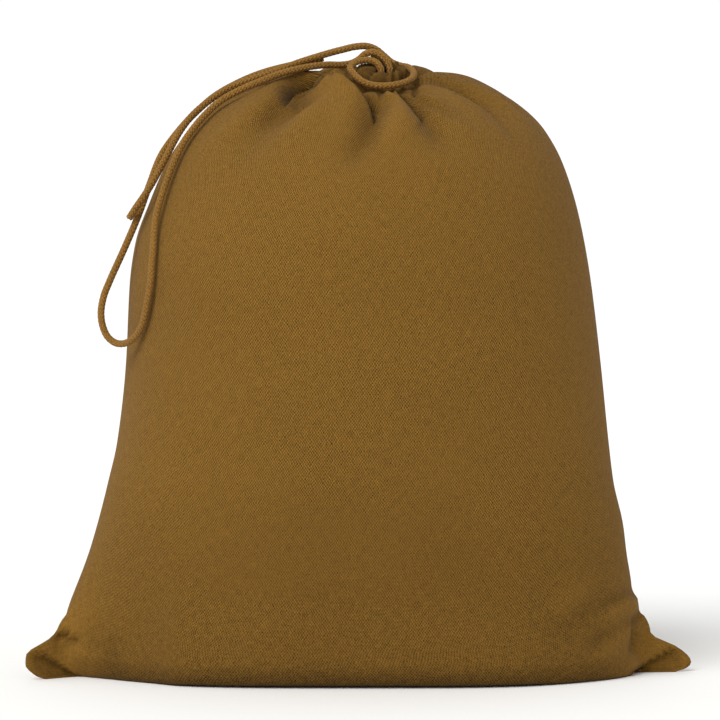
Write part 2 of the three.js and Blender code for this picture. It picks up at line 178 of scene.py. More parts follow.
# tree that braids strands round a path: half of them wind one way and half the other, over and under
def braidTree():
    tree = bpy.data.node_groups.new("cordBraid", "GeometryNodeTree")
    face = tree.interface
    face.new_socket("Geometry", in_out="INPUT", socket_type="NodeSocketGeometry")
    face.new_socket("Strands", in_out="INPUT", socket_type="NodeSocketInt")
    for name in ("Lay", "Radius", "Width", "Thickness", "Lift", "Step"):
        face.new_socket(name, in_out="INPUT", socket_type="NodeSocketFloat")
    face.new_socket("Material", in_out="INPUT", socket_type="NodeSocketMaterial")
    face.new_socket("Geometry", in_out="OUTPUT", socket_type="NodeSocketGeometry")
    given = addNode(tree, "NodeGroupInput", out=None).outputs

    long = addNode(tree, "GeometryNodeCurveLength", {0: given["Geometry"]})
    steps = addNode(tree, "ShaderNodeMath", {0: long, 1: given["Step"]}, operation="DIVIDE")
    count = addNode(tree, "ShaderNodeMath", {0: given["Strands"], 1: 2.0}, operation="MULTIPLY")
    grid = addNode(tree, "GeometryNodeMeshGrid", {"Size X": long, "Size Y": 1.0, "Vertices X": steps,
                                                  "Vertices Y": count})

    # the grid's lines along X become the strands
    ends = addNode(tree, "GeometryNodeInputMeshEdgeVertices", out=None).outputs
    across = addNode(tree, "ShaderNodeVectorMath", {0: ends["Position 1"], 1: ends["Position 2"]},
                     operation="SUBTRACT")
    rise = addNode(tree, "ShaderNodeSeparateXYZ", {0: across}, out="Y")
    level = addNode(tree, "FunctionNodeCompare", {0: rise, 1: 0.0, "Epsilon": 0.001},
                    data_type="FLOAT", operation="EQUAL")
    lines = addNode(tree, "GeometryNodeMeshToCurve", {"Mesh": grid, "Selection": level})

    place = addNode(tree, "GeometryNodeInputPosition")
    xyz = addNode(tree, "ShaderNodeSeparateXYZ", {0: place}, out=None).outputs
    halfLong = addNode(tree, "ShaderNodeMath", {0: long, 1: 0.5}, operation="MULTIPLY")
    along = addNode(tree, "ShaderNodeMath", {0: xyz["X"], 1: halfLong}, operation="ADD")
    last = addNode(tree, "ShaderNodeMath", {0: count, 1: 1.0}, operation="SUBTRACT")
    share = addNode(tree, "ShaderNodeMath", {0: xyz["Y"], 1: 0.5}, operation="ADD")
    ranked = addNode(tree, "ShaderNodeMath", {0: share, 1: last}, operation="MULTIPLY")
    strand = addNode(tree, "ShaderNodeMath", {0: ranked}, operation="ROUND")
    isLeft = addNode(tree, "ShaderNodeMath", {0: strand, 1: given["Strands"]}, operation="LESS_THAN")
    hand = addNode(tree, "ShaderNodeMath", {0: isLeft, 1: 2.0, 2: -1.0}, operation="MULTIPLY_ADD")

    turns = addNode(tree, "ShaderNodeMath", {0: along, 1: given["Lay"]}, operation="DIVIDE")
    handed = addNode(tree, "ShaderNodeMath", {0: turns, 1: hand}, operation="MULTIPLY")
    start = addNode(tree, "ShaderNodeMath", {0: strand, 1: given["Strands"]}, operation="DIVIDE")
    turned = addNode(tree, "ShaderNodeMath", {0: handed, 1: start}, operation="ADD")
    angle = addNode(tree, "ShaderNodeMath", {0: turned, 1: 2 * math.pi}, operation="MULTIPLY")
    crossing = addNode(tree, "ShaderNodeMath", {0: turns, 1: given["Strands"]}, operation="MULTIPLY")
    wave = addNode(tree, "ShaderNodeMath", {0: crossing, 1: 2 * math.pi}, operation="MULTIPLY")
    over = addNode(tree, "ShaderNodeMath", {0: wave}, operation="COSINE")
    weave = addNode(tree, "ShaderNodeMath", {0: over, 1: hand}, operation="MULTIPLY")
    reach = addNode(tree, "ShaderNodeMath", {0: weave, 1: given["Lift"], 2: given["Radius"]},
                    operation="MULTIPLY_ADD")

    path = addNode(tree, "GeometryNodeSampleCurve", {"Curves": given["Geometry"], "Length": along},
                   mode="LENGTH", use_all_curves=True, out=None).outputs
    side = addNode(tree, "ShaderNodeVectorMath", {0: path["Tangent"], 1: path["Normal"]},
                   operation="CROSS_PRODUCT")
    cosine = addNode(tree, "ShaderNodeMath", {0: angle}, operation="COSINE")
    sine = addNode(tree, "ShaderNodeMath", {0: angle}, operation="SINE")
    partNormal = addNode(tree, "ShaderNodeVectorMath", {0: path["Normal"], "Scale": cosine},
                         operation="SCALE")
    partSide = addNode(tree, "ShaderNodeVectorMath", {0: side, "Scale": sine}, operation="SCALE")
    outward = addNode(tree, "ShaderNodeVectorMath", {0: partNormal, 1: partSide}, operation="ADD")
    offset = addNode(tree, "ShaderNodeVectorMath", {0: outward, "Scale": reach}, operation="SCALE")
    laid = addNode(tree, "ShaderNodeVectorMath", {0: path["Position"], 1: offset}, operation="ADD")

    kept = addNode(tree, "GeometryNodeStoreNamedAttribute", {"Geometry": lines, "Name": "weave",
                                                             "Value": weave},
                   data_type="FLOAT", domain="POINT")
    kept = addNode(tree, "GeometryNodeStoreNamedAttribute", {"Geometry": kept, "Name": "outward",
                                                             "Value": outward},
                   data_type="FLOAT_VECTOR", domain="POINT")
    moved = addNode(tree, "GeometryNodeSetPosition", {"Geometry": kept, "Position": laid})
    facing = addNode(tree, "GeometryNodeInputNamedAttribute", {"Name": "outward"}, data_type="FLOAT_VECTOR")
    faced = addNode(tree, "GeometryNodeSetCurveNormal", {"Curve": moved, "Normal": facing}, mode="FREE")
    # a strand's section is a flattened ring of five corners
    ring = addNode(tree, "GeometryNodeCurvePrimitiveCircle", {"Resolution": 5, "Radius": 0.5})
    flat = addNode(tree, "ShaderNodeCombineXYZ", {0: given["Thickness"], 1: given["Width"], 2: 1.0})
    section = addNode(tree, "GeometryNodeTransform", {"Geometry": ring, "Scale": flat})
    strands = addNode(tree, "GeometryNodeCurveToMesh", {"Curve": faced, "Profile Curve": section,
                                                        "Fill Caps": True})

    # a plain core fills the middle
    inner = addNode(tree, "GeometryNodeCurvePrimitiveCircle", {"Resolution": 10, "Radius": given["Radius"]})
    core = addNode(tree, "GeometryNodeCurveToMesh", {"Curve": given["Geometry"], "Profile Curve": inner,
                                                     "Fill Caps": True})
    join = addNode(tree, "GeometryNodeJoinGeometry", out=None)
    tree.links.new(strands, join.inputs[0])
    tree.links.new(core, join.inputs[0])
    smooth = addNode(tree, "GeometryNodeSetShadeSmooth", {"Geometry": join.outputs[0]})
    real = addNode(tree, "GeometryNodeRealizeInstances", {"Geometry": smooth})
    dressed = addNode(tree, "GeometryNodeSetMaterial", {"Geometry": real, "Material": given["Material"]})
    addNode(tree, "NodeGroupOutput", {"Geometry": dressed}, out=None)
    return tree


# a curve or mesh run through a tree, with its named inputs, and kept as a plain mesh
def growMesh(name, data, tree, inputs):
    seed = makeObject(name + "Seed", data)
    modifier = seed.modifiers.new("grow", "NODES")
    modifier.node_group = tree
    sockets = {item.name: item.identifier for item in tree.interface.items_tree if item.in_out == "INPUT"}
    for key, value in inputs.items():
        modifier[sockets[key]] = value
    grown = seed.evaluated_get(bpy.context.evaluated_depsgraph_get())
    mesh = bpy.data.meshes.new_from_object(grown)
    mesh.name = name
    bpy.data.objects.remove(seed)
    return makeObject(name, mesh)


def pathCurve(name, points):
    data = bpy.data.curves.new(name, "CURVE")
    data.dimensions = "3D"
    spline = data.splines.new("POLY")
    spline.points.add(len(points) - 1)
    spline.points.foreach_set("co", np.c_[points, np.ones(len(points))].ravel())
    return data


# braided cotton cord: matt strands, with painted shade where they dip under another, and a little fuzz to
# soften the light
def braidedCotton():
    material = newMaterial("braidedCottonCord")
    tree = material.node_tree
    # painted shade: the strands darken where the braid's wave takes them under another
    weave = addNode(tree, "ShaderNodeAttribute", attribute_name="weave", out="Fac")
    depth = addNode(tree, "ShaderNodeMapRange", {"Value": weave, "From Min": -1.0, "From Max": 0.5})
    place = addNode(tree, "ShaderNodeTexCoord", out="Object")
    fibres = addNode(tree, "ShaderNodeTexNoise", {"Vector": place, "Scale": 1 / cord["fibre"], "Detail": 3.0,
                                                  "Roughness": 0.6}, out="Fac")
    faded = addNode(tree, "ShaderNodeTexNoise", {"Vector": place, "Scale": 1 / cord["patch"],
                                                 "Detail": 2.0}, out="Fac")
    base = addNode(tree, "ShaderNodeMix", {"Factor": depth, "A": toLinear(cord["paintedShade"]),
                                           "B": toLinear(cord["colour"])}, data_type="RGBA", out="Result")
    lights = []
    for noise, (least, most) in ((fibres, cord["fibreLight"]), (faded, cord["patchLight"])):
        lights.append(addNode(tree, "ShaderNodeMapRange", {"Value": noise, "From Min": 0.3, "From Max": 0.7,
                                                           "To Min": least, "To Max": most}))
    both = addNode(tree, "ShaderNodeMath", {0: lights[0], 1: lights[1]}, operation="MULTIPLY")
    colour = addNode(tree, "ShaderNodeVectorMath", {0: base, "Scale": both}, operation="SCALE")
    bump = addNode(tree, "ShaderNodeBump", {"Height": fibres, "Strength": 0.5,
                                            "Distance": cord["fibreHeight"]})
    shader = addNode(tree, "ShaderNodeBsdfPrincipled", {
        "Base Color": colour, "Roughness": 0.85, "Specular IOR Level": 0.2,
        "Sheen Weight": 0.06, "Sheen Roughness": 0.5, "Normal": bump})
    addNode(tree, "ShaderNodeOutputMaterial", {"Surface": shader}, out=None)
    return material


def makeCords():
    print("cords")
    tree = braidTree()
    material = braidedCotton()
    thickest = cord["strandThickness"] / 2 + cord["lift"]
    inputs = {
        "Strands": cord["strands"], "Lay": cord["lay"], "Radius": cord["diameter"] / 2 - thickest,
        "Width": cord["strandWidth"], "Thickness": cord["strandThickness"], "Lift": cord["lift"],
        "Step": cord["step"], "Material": material,
    }
    for name, node, route in (("ringEnd", "cord_ring_end", ringEndRoute),
                              ("loopEnd", "cord_loop_end", loopEndRoute)):
        points, length = smoothRoute(route, 2 * cord["step"])
        piece = growMesh(name, pathCurve(name + "Path", points), tree, inputs)
        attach(piece, "root")
        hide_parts(node)
        print("  %s %.3f m" % (name, length))


# Bag: the panels follow the solids' own sections, with finer rows and with folds of their own

bag = {
    "panelHeight": 0.508,              # flat cloth of one panel, from the bottom seam to the mouth's edge
    "panelWidth": 0.406,
    "bottomSeam": (-0.190, 0.189),
    "cloth": 0.0012,                   # thickness
    "seamGap": 0.00002,                # between the panels at the seams, and in the ears
    "earGap": 0.0001,
    "tipShare": 0.35,                  # the ears thin out to this share of their thickness at their edges
    "earFloor": 0.008,                 # where the base is less deep than this, the panels begin to lie flat
    "earStart": 0.001,                 # how far an ear sticks out where its panels begin to lie flat, and do
    "earWhole": 0.008,
    "earBendHeight": 0.095,            # height at which the ears' bends are gone
    "edgeThin": 0.8,                   # share of its thickness that an ear's cloth loses towards its edge,
    "edgeReach": 0.03,                 # and the distance over which it does
    "outlineSteps": 180,
    "columns": 208,
    "sideColumns": 0.05,               # near the side seams the columns are closer, by this factor
    "sideFactor": 1.7,
    "floorRows": 9,
    "wallStep": 0.0027,
    "neckStep": 0.0012,                # near the neck the rows are closer
    "neckRows": 0.095,
}
sectionColumns = ("height", "left", "right", "front", "back", "tipLeft", "tipRight", "boxy", "edge", "tilt")
sectionTable = [                       # as in the solids: four sides, the ears' tips, and the outline's form
    (0, -0.17, 0.167, -0.065, 0.066, -0.19, 0.189, 4, 0.74, 0),
    (0.0025, -0.173, 0.169, -0.072, 0.073, -0.195, 0.196, 3.8, 0.74, 0),
    (0.009, -0.176, 0.171, -0.077, 0.078, -0.1995, 0.2005, 3.5, 0.72, 0),
    (0.016, -0.177, 0.172, -0.079, 0.079, -0.199, 0.197, 3.2, 0.69, 0),
    (0.024, -0.176, 0.172, -0.0795, 0.08, -0.187, 0.181, 2.9, 0.65, 0),
    (0.033, -0.175, 0.17, -0.08, 0.081, -0.178, 0.172, 2.7, 0.61, 0),
    (0.044, -0.1715, 0.1665, -0.081, 0.082, -0.1715, 0.1665, 2.5, 0.57, 0),
    (0.068, -0.164, 0.163, -0.086, 0.086, -0.164, 0.163, 2.3, 0.52, 0),
    (0.092, -0.157, 0.16, -0.093, 0.092, -0.157, 0.16, 2.2, 0.5, 0),
    (0.117, -0.151, 0.155, -0.1, 0.098, -0.151, 0.155, 2.15, 0.5, 0),
    (0.141, -0.1455, 0.152, -0.105, 0.103, -0.1455, 0.152, 2.1, 0.5, 0),
    (0.189, -0.14, 0.147, -0.1115, 0.1105, -0.14, 0.147, 2.1, 0.5, 0),
    (0.238, -0.1375, 0.141, -0.1135, 0.1135, -0.1375, 0.141, 2.1, 0.5, 0),
    (0.262, -0.134, 0.137, -0.1115, 0.1125, -0.134, 0.137, 2.1, 0.5, 0),
    (0.286, -0.1255, 0.1316, -0.106, 0.107, -0.1255, 0.1316, 2.1, 0.5, 1),
    (0.31, -0.115, 0.1236, -0.0955, 0.0955, -0.115, 0.1236, 2.1, 0.5, 2),
    (0.322, -0.1075, 0.1176, -0.087, 0.087, -0.1075, 0.1176, 2.1, 0.5, 2.5),
    (0.334, -0.0965, 0.1092, -0.077, 0.0765, -0.0965, 0.1092, 2.05, 0.5, 3),
    (0.3455, -0.0825, 0.096, -0.0635, 0.063, -0.0825, 0.096, 2.05, 0.5, 4.5),
    (0.352, -0.069, 0.085, -0.0515, 0.0505, -0.069, 0.085, 2, 0.5, 6.5),
    (0.357, -0.0545, 0.072, -0.041, 0.04, -0.0545, 0.072, 2, 0.5, 10),
    (0.3603, -0.0395, 0.058, -0.033, 0.03, -0.0395, 0.058, 2, 0.5, 14),
    (0.3614, -0.024, 0.046, -0.027, 0.022, -0.024, 0.046, 2, 0.5, 19),
    (0.3594, -0.008, 0.036, -0.0235, 0.016, -0.008, 0.036, 2, 0.5, 20),
    (0.3608, -0.0012, 0.0292, -0.0192, 0.0114, -0.0012, 0.0292, 2, 0.5, 19),
    (0.364, -0.0012, 0.0292, -0.0192, 0.0114, -0.0012, 0.0292, 2, 0.5, 19),
    (0.3662, -0.0009, 0.0289, -0.0189, 0.0111, -0.0009, 0.0289, 2, 0.5, 19),
    (0.3677, 0.0022, 0.0278, -0.017, 0.0094, 0.0022, 0.0278, 2, 0.5, 19),
    (0.3682, 0.006, 0.0258, -0.014, 0.0068, 0.006, 0.0258, 2, 0.5, 19),
    (0.3676, 0.0092, 0.0243, -0.0115, 0.0048, 0.0092, 0.0243, 2, 0.5, 19),
    (0.3629, 0.0097, 0.0238, -0.011, 0.0043, 0.0097, 0.0238, 2, 0.5, 19),
]
earBends = [                           # root and tip on X, and how far the tip bends to the front or back
    (-0.11, -0.1995, -0.036),
    (0.11, 0.2005, 0.006),
]
sideShifts = [                         # the sides' wobbles: side, then height and how far out the edge lies
    (1, [(0, 0.0045), (0.0037, 0.0048), (0.0085, 0.0018), (0.0125, -0.0012), (0.0207, -0.0062),
         (0.026, -0.0004), (0.032, 0.0032), (0.0352, 0.0033), (0.0377, 0.0013), (0.041, 0.0033),
         (0.0445, 0.004), (0.0495, 0.0017), (0.052, 0.0009), (0.056, 0.0016), (0.075, 0.0009),
         (0.10, 0.001)]),
    (-1, [(0, -0.0022), (0.004, -0.0026), (0.0085, -0.0011), (0.0135, -0.0005), (0.0255, -0.002),
          (0.028, -0.0014), (0.0305, 0.0002), (0.034, 0.0014), (0.040, 0.0006), (0.045, 0),
          (0.07, 0.0005), (0.10, 0.0006)]),
]
neckSection = 24                       # row of the table at which the neck is tied
folds = {
    "neckRelief": 0.001,               # depth that a fold keeps at the neck
    "bendZone": 0.034,                 # distance below the neck over which a fold swings to its middle place
    "fade": 0.35,                      # share of its reach from which it fades
    "shoulderHeight": 0.35,            # the ridges beside it: share of its depth, and place and spread
    "shoulderPlace": 1.9,              # in half widths of the fold
    "shoulderSpread": 0.7,
    "pleats": 5,                       # in each panel, at the neck
    "pleatDepth": 0.0024,
    "pleatReach": 0.026,
    "pleatDrift": 0.3,
}
# place at the neck, at the bend and at the end; reach, depth, half width and the zone in which it deepens
foldTable = [
    (0.03, 0.27, 0.26, 0.11, 0.007, 0.045, 0.024),
    (0.15, 0.43, 0.42, 0.064, -0.009, 0.065, 0.009),
    (-0.06, 0.12, 0.16, 0.06, -0.0035, 0.05, 0.014),
    (0.31, 0.52, 0.47, 0.11, 0.006, 0.033, 0.024),
    (0.6, 0.635, 0.66, 0.095, 0.0055, 0.032, 0.024),
    (0.93, 0.86, 0.82, 0.085, 0.0045, 0.04, 0.024),
    (1.18, 1.2, 1.17, 0.11, 0.006, 0.045, 0.024),
    (1.42, 1.38, 1.36, 0.09, 0.005, 0.04, 0.024),
    (1.58, 1.56, 1.57, 0.13, 0.007, 0.045, 0.024),
    (1.8, 1.76, 1.74, 0.09, 0.005, 0.045, 0.024),
]


# a smooth curve through the values that never overshoots them
def curveThrough(places, values):
    places, values = np.array(places, float), np.array(values, float)
    slopes = np.diff(values) / np.diff(places)
    tangents = np.concatenate([[slopes[0]], np.zeros(len(slopes) - 1), [slopes[-1]]])
    for i in range(1, len(slopes)):
        before, after = slopes[i - 1], slopes[i]
        tangents[i] = 0 if before * after <= 0 else 2 * before * after / (before + after)

    def evaluate(place):
        i = np.searchsorted(places[1:-1], place, side="left")
        span = places[i + 1] - places[i]
        t = (place - places[i]) / span
        return ((2 * t ** 3 - 3 * t ** 2 + 1) * values[i] + (t ** 3 - 2 * t ** 2 + t) * span * tangents[i]
                + (3 * t ** 2 - 2 * t ** 3) * values[i + 1] + (t ** 3 - t ** 2) * span * tangents[i + 1])
    return evaluate


def smoothStep(low, high, value):
    t = np.clip((value - low) / (high - low), 0, 1)
    return t * t * (3 - 2 * t)


wallLengths = [0.0]
for lower, upper in zip(sectionTable, sectionTable[1:]):
    wallLengths.append(wallLengths[-1] + math.hypot(upper[0] - lower[0], upper[3] - lower[3]))
wallLength = wallLengths[-1]
neckLength = wallLengths[neckSection]
sectionCurves = {name: curveThrough(wallLengths, [row[c] for row in sectionTable])
                 for c, name in enumerate(sectionColumns)}


def sectionsAt(lengths):
    return {name: curve(lengths) for name, curve in sectionCurves.items()}


# where the middle of the cloth lies at the ears, and the direction across it there
def earLine(x, z):
    bend, slope = np.zeros_like(x), np.zeros_like(x)
    held = 1 - smoothStep(bag["earBendHeight"] / 3, bag["earBendHeight"], z)
    for root, tip, reach in earBends:
        out = np.maximum(0, (x - root) / (tip - root))
        bend = bend + reach * out ** 2 * held
        slope = slope + 2 * reach * out * held / (tip - root)
    across = np.stack([-slope, np.ones_like(x), np.zeros_like(x)], axis=-1)
    return bend, across / np.linalg.norm(across, axis=-1, keepdims=True)


def bentPoints(x, depth, z):
    bend, across = earLine(x, z)
    return np.stack([x + across[..., 0] * depth, bend + across[..., 1] * depth, z], axis=-1)


# 1 where the two panels lie flat together in an ear, 0 where the bag is round at its side
def earShare(section):
    reach = np.maximum(section["left"] - section["tipLeft"], section["tipRight"] - section["right"])
    return smoothStep(bag["earStart"], bag["earWhole"], reach)


def seamHalf(share):
    flat = bag["earGap"] / 2 + bag["cloth"]
    return bag["seamGap"] / 2 + (flat - bag["seamGap"] / 2) * share


# one panel's line round each section, from the left seam to the right one
def outlines(section, side):
    middle = (section["left"] + section["right"]) / 2
    half = (section["right"] - section["left"]) / 2
    centre = (section["front"] + section["back"]) / 2
    reach = centre - section["front"] if side < 0 else section["back"] - centre
    least = seamHalf(earShare(section))
    across = -np.cos(np.pi * np.arange(bag["outlineSteps"] + 1) / bag["outlineSteps"])[None]
    body = reach[:, None] * (1 - np.abs(across) ** section["boxy"][:, None]) ** section["edge"][:, None]
    x = middle[:, None] + half[:, None] * across
    y = centre[:, None] + side * (body ** 4 + least[:, None] ** 4) ** 0.25
    hasLeft = section["tipLeft"] < section["left"] - bag["seamGap"]
    hasRight = section["tipRight"] > section["right"] + bag["seamGap"]
    firstX = np.where(hasLeft, section["tipLeft"], x[:, 0])
    lastX = np.where(hasRight, section["tipRight"], x[:, -1])
    firstY = np.where(hasLeft, centre + side * least * bag["tipShare"], y[:, 0])
    lastY = np.where(hasRight, centre + side * least * bag["tipShare"], y[:, -1])
    return np.c_[firstX, x, lastX], np.c_[firstY, y, lastY], centre


def pointsAlong(x, y, fraction):
    lengths = np.c_[np.zeros(len(x)), np.cumsum(np.hypot(np.diff(x), np.diff(y)), axis=1)]
    target = fraction * lengths[:, -1]
    i = np.clip((lengths < target[:, None]).sum(axis=1), 1, x.shape[1] - 1)
    row = np.arange(len(x))
    t = (target - lengths[row, i - 1]) / np.maximum(lengths[row, i] - lengths[row, i - 1], 1e-12)
    return x[row, i - 1] + t * (x[row, i] - x[row, i - 1]), y[row, i - 1] + t * (y[row, i] - y[row, i - 1])


def wallPoints(across, lengths, side):
    section = sectionsAt(lengths)
    lineX, lineY, centre = outlines(section, side)
    x, y = pointsAlong(lineX, lineY, across)
    lean = np.radians(section["tilt"])
    depth = y - centre
    return bentPoints(x, centre + depth * np.cos(lean), section["height"] + depth * np.sin(lean))


def floorDepth(across, side):
    lineX, lineY, centre = outlines(sectionsAt(np.zeros(1)), side)
    _, y = pointsAlong(lineX, lineY, across)
    return max(0.0, abs(float(y[0])) - bag["seamGap"] / 2 - bag["cloth"])


def pinchAt(across, side):
    return float(1 - smoothStep(0, bag["earFloor"], floorDepth(across, side)))


# Creases of the cloth, finer than the solids' folds

creases = {
    "start": (-0.006, 0.012),          # a crease of the neck comes in over this stretch past its first stop,
    "fade": 0.45,                      # dies out from this share of its length,
    "past": 0.012,                     # and is gone this far past its last stop
    "power": 1.5,                      # 2 is a round trough, and less is sharper
    "below": (0.003, 0.009),           # distances below the neck over which the steps and swells come in
    "stepRun": 0.02,                   # share of its line by which a step runs on past its ends
    "tuckStart": 0.0009,               # distance from the upper fold over which the cloth beside it dips
    "lipGap": 0.0005,                  # half width of the painted shadow in a gap on the side of the upper fold
    "openGap": 0.0016,                 # the painted shadow of a gap that is narrower than this is lighter
    "gapShadowDepth": 0.0085,                # a gap's painted shadow is as dark as the painted shade of a crease of this depth
    "swellStart": (-0.15, 0.15),       # shares of its line over which a swell comes in, and dies out
    "swellEnd": (0.55, 1.0),
    "earTop": (0.05, 0.10),            # heights over which the back panel stops moving with the front one
    "free": 0.012,                     # the creases come in over this distance from the seams,
    "stepFree": (0.004, 0.002),        # and the steps and swells over these, from the sides and the foot
    "rimTop": 0.0068,                  # how far up from the neck the rim's top lies, and half its width
    "rimHalf": 0.0024,
}
# on the back and the right shoulder, from the neck: depth, half width round the bag, and stops of distance
# below the neck and place round it
neckCreases = [
    ("shoulderCrease", 0.0018, 0.012, [(0.003, 0.93), (0.013, 0.912), (0.037, 0.858), (0.063, 0.826),
                                       (0.085, 0.81)]),
    ("farCrease", 0.0014, 0.014, [(0.003, 1.02), (0.02, 0.99), (0.045, 0.945), (0.08, 0.92)]),
    ("backOne", 0.002, 0.014, [(0.003, 1.18), (0.03, 1.2), (0.06, 1.2), (0.095, 1.17)]),
    ("backTwo", 0.0018, 0.012, [(0.003, 1.31), (0.03, 1.29), (0.06, 1.28)]),
    ("backThree", 0.0022, 0.013, [(0.003, 1.42), (0.04, 1.38), (0.085, 1.36)]),
    ("backFour", 0.002, 0.013, [(0.003, 1.58), (0.05, 1.56), (0.11, 1.57)]),
    ("backFive", 0.0018, 0.012, [(0.003, 1.8), (0.04, 1.76), (0.08, 1.74)]),
]
# steps where one fold of cloth lies over another, on the front: height of the upper fold's edge, depth of
# the cloth beside it, how far each runs out, shares of the line over which it begins and ends, width of the
# painted shadow in the gap, and the line as the camera sees it, in metres from the middle of the picture,
# the upper fold on its left
clothSteps = [
    ("moundEdge", 0.0012, 0.005, 0.01, 0.007, 0.05, 0.3, 0.003,
     [(-0.0085, 0.1779), (-0.0133, 0.1754), (-0.0181, 0.1718), (-0.023, 0.1682), (-0.0284, 0.1646),
      (-0.0333, 0.1633), (-0.0381, 0.1624), (-0.0417, 0.1591), (-0.0448, 0.1555), (-0.0478, 0.1519)]),
    ("firstCrease", 0.0014, 0.0044, 0.005, 0.003, 0.16, 0.06, 0.0016,
     [(0.0079, 0.1416), (0.0076, 0.147), (0.006, 0.1525), (0.0036, 0.1573), (0.0, 0.1621),
      (-0.0036, 0.167), (-0.0067, 0.1724), (-0.0085, 0.1779)]),
    ("middleCrease", 0.0016, 0.005, 0.005, 0.0036, 0.14, 0.06, 0.0026,
     [(0.0381, 0.144), (0.0339, 0.1476), (0.0302, 0.1519), (0.0266, 0.1561), (0.023, 0.1603),
      (0.0194, 0.1658)]),
    ("leftEarLip", 0.0014, 0.0036, 0.007, 0.01, 0.12, 0.17, 0.0006,
     [(-0.2021, -0.1785), (-0.1996, -0.1767), (-0.196, -0.1764), (-0.1912, -0.1779), (-0.1863, -0.1809),
      (-0.1815, -0.1842), (-0.1754, -0.1882), (-0.1694, -0.1915)]),
    ("leftEarNotch", 0.0016, 0.0034, 0.008, 0.008, 0.12, 0.3, 0.0004,
     [(-0.1833, -0.1633), (-0.1791, -0.164), (-0.1742, -0.1664), (-0.1682, -0.17)]),
    ("rightEarLip", 0.0014, 0.0036, 0.007, 0.012, 0.12, 0.17, 0.0009,
     [(0.1633, -0.1888), (0.1682, -0.1863), (0.1724, -0.1836), (0.1767, -0.1812), (0.1815, -0.1785),
      (0.1857, -0.1761), (0.19, -0.1742), (0.193, -0.173)]),
]
# folds of the mouth's rim that stand up: place round it, half width in place, and rise
rimFolds = [(1.62, 0.07, 0.0055), (0.24, 0.07, 0.0016), (0.43, 0.06, 0.0014), (0.66, 0.07, 0.0018)]
# soft ridges and troughs, seen in the same way: height, half width and the line, from where it is deepest
clothSwells = [
    ("moundTop", 0.0048, 0.006, [(-0.015, 0.1704), (-0.013, 0.1688), (-0.012, 0.165), (-0.0105, 0.159)]),
    ("ringShadow", -0.003, 0.0014, [(0.0327, 0.169), (0.0328, 0.165), (0.033, 0.16)]),
    ("farRidge", 0.002, 0.005, [(-0.0206, 0.1736), (-0.025, 0.174), (-0.03, 0.173), (-0.035, 0.17)]),
    ("moundShadow", -0.002, 0.0055, [(-0.0315, 0.168), (-0.0436, 0.1597), (-0.0508, 0.1525),
                                      (-0.0593, 0.1428), (-0.0665, 0.1331)]),
    ("firstValley", -0.002, 0.006, [(0.0079, 0.144), (0.0066, 0.138), (0.0036, 0.1331), (-0.0036, 0.1234),
                                      (-0.0133, 0.1137)]),
    ("middleValley", -0.0018, 0.006, [(0.037, 0.146), (0.042, 0.14), (0.046, 0.1343), (0.052, 0.1234)]),
    ("tongue", 0.0018, 0.0055, [(0.015, 0.156), (0.016, 0.148), (0.017, 0.1391), (0.017, 0.128)]),
    ("shortCrease", -0.0026, 0.0013, [(0.011, 0.166), (0.0117, 0.1621), (0.0128, 0.1591), (0.0142, 0.156)]),
    ("shortBranch", -0.0016, 0.0012, [(0.0145, 0.164), (0.014, 0.161), (0.0128, 0.1585)]),
    ("rightNotch", -0.0018, 0.0019, [(0.0315, 0.17), (0.0363, 0.169), (0.042, 0.1672)]),
    ("rightRidge", 0.002, 0.004, [(0.035, 0.1668), (0.042, 0.164), (0.054, 0.16), (0.07, 0.154)]),
    ("rightValley", -0.0024, 0.0034, [(0.03, 0.164), (0.0363, 0.1603), (0.043, 0.1567), (0.0508, 0.1525),
                                      (0.0593, 0.147), (0.068, 0.14)]),
    ("shoulderValley", -0.0016, 0.0045, [(0.04, 0.1712), (0.046, 0.1694), (0.0544, 0.1664), (0.0641, 0.1621),
                                         (0.0738, 0.1561)]),
    ("rightEarFold", -0.0034, 0.0024, [(0.1694, -0.1525), (0.1679, -0.1561), (0.167, -0.1621),
                                       (0.1658, -0.1694), (0.164, -0.1767), (0.1635, -0.18)]),
    ("rightEarOne", -0.002, 0.0045, [(0.167, -0.1404), (0.1603, -0.1428), (0.1512, -0.1476),
                                      (0.1428, -0.1537)]),
    ("rightEarTwo", 0.0018, 0.006, [(0.1682, -0.1476), (0.1609, -0.1506), (0.1512, -0.1573),
                                     (0.1428, -0.1658)]),
    ("rightEarThree", -0.0018, 0.005, [(0.167, -0.1549), (0.1561, -0.1621), (0.1452, -0.1706),
                                        (0.1355, -0.1791)]),
    ("rightEarFour", 0.0016, 0.006, [(0.1646, -0.1621), (0.1561, -0.1694), (0.1476, -0.1779),
                                      (0.1391, -0.1839)]),
    ("rightEarFive", -0.0014, 0.008, [(0.1452, -0.1452), (0.1331, -0.1549), (0.121, -0.1658),
                                       (0.1119, -0.1754)]),
    ("rightEarSix", 0.0014, 0.009, [(0.1391, -0.1391), (0.127, -0.1488), (0.1137, -0.1609)]),
    ("leftEarOne", 0.0014, 0.007, [(-0.1742, -0.1754), (-0.1633, -0.1803), (-0.15, -0.1839)]),
    ("leftEarTwo", -0.0012, 0.007, [(-0.167, -0.1839), (-0.1549, -0.1863), (-0.1391, -0.1888)]),
    ("leftEarThree", -0.0014, 0.008, [(-0.167, -0.1682), (-0.1549, -0.1754), (-0.1404, -0.1815)]),
]


def turnBetween(start, end):
    turn = end - start
    return turn - 2 * np.round(turn / 2)


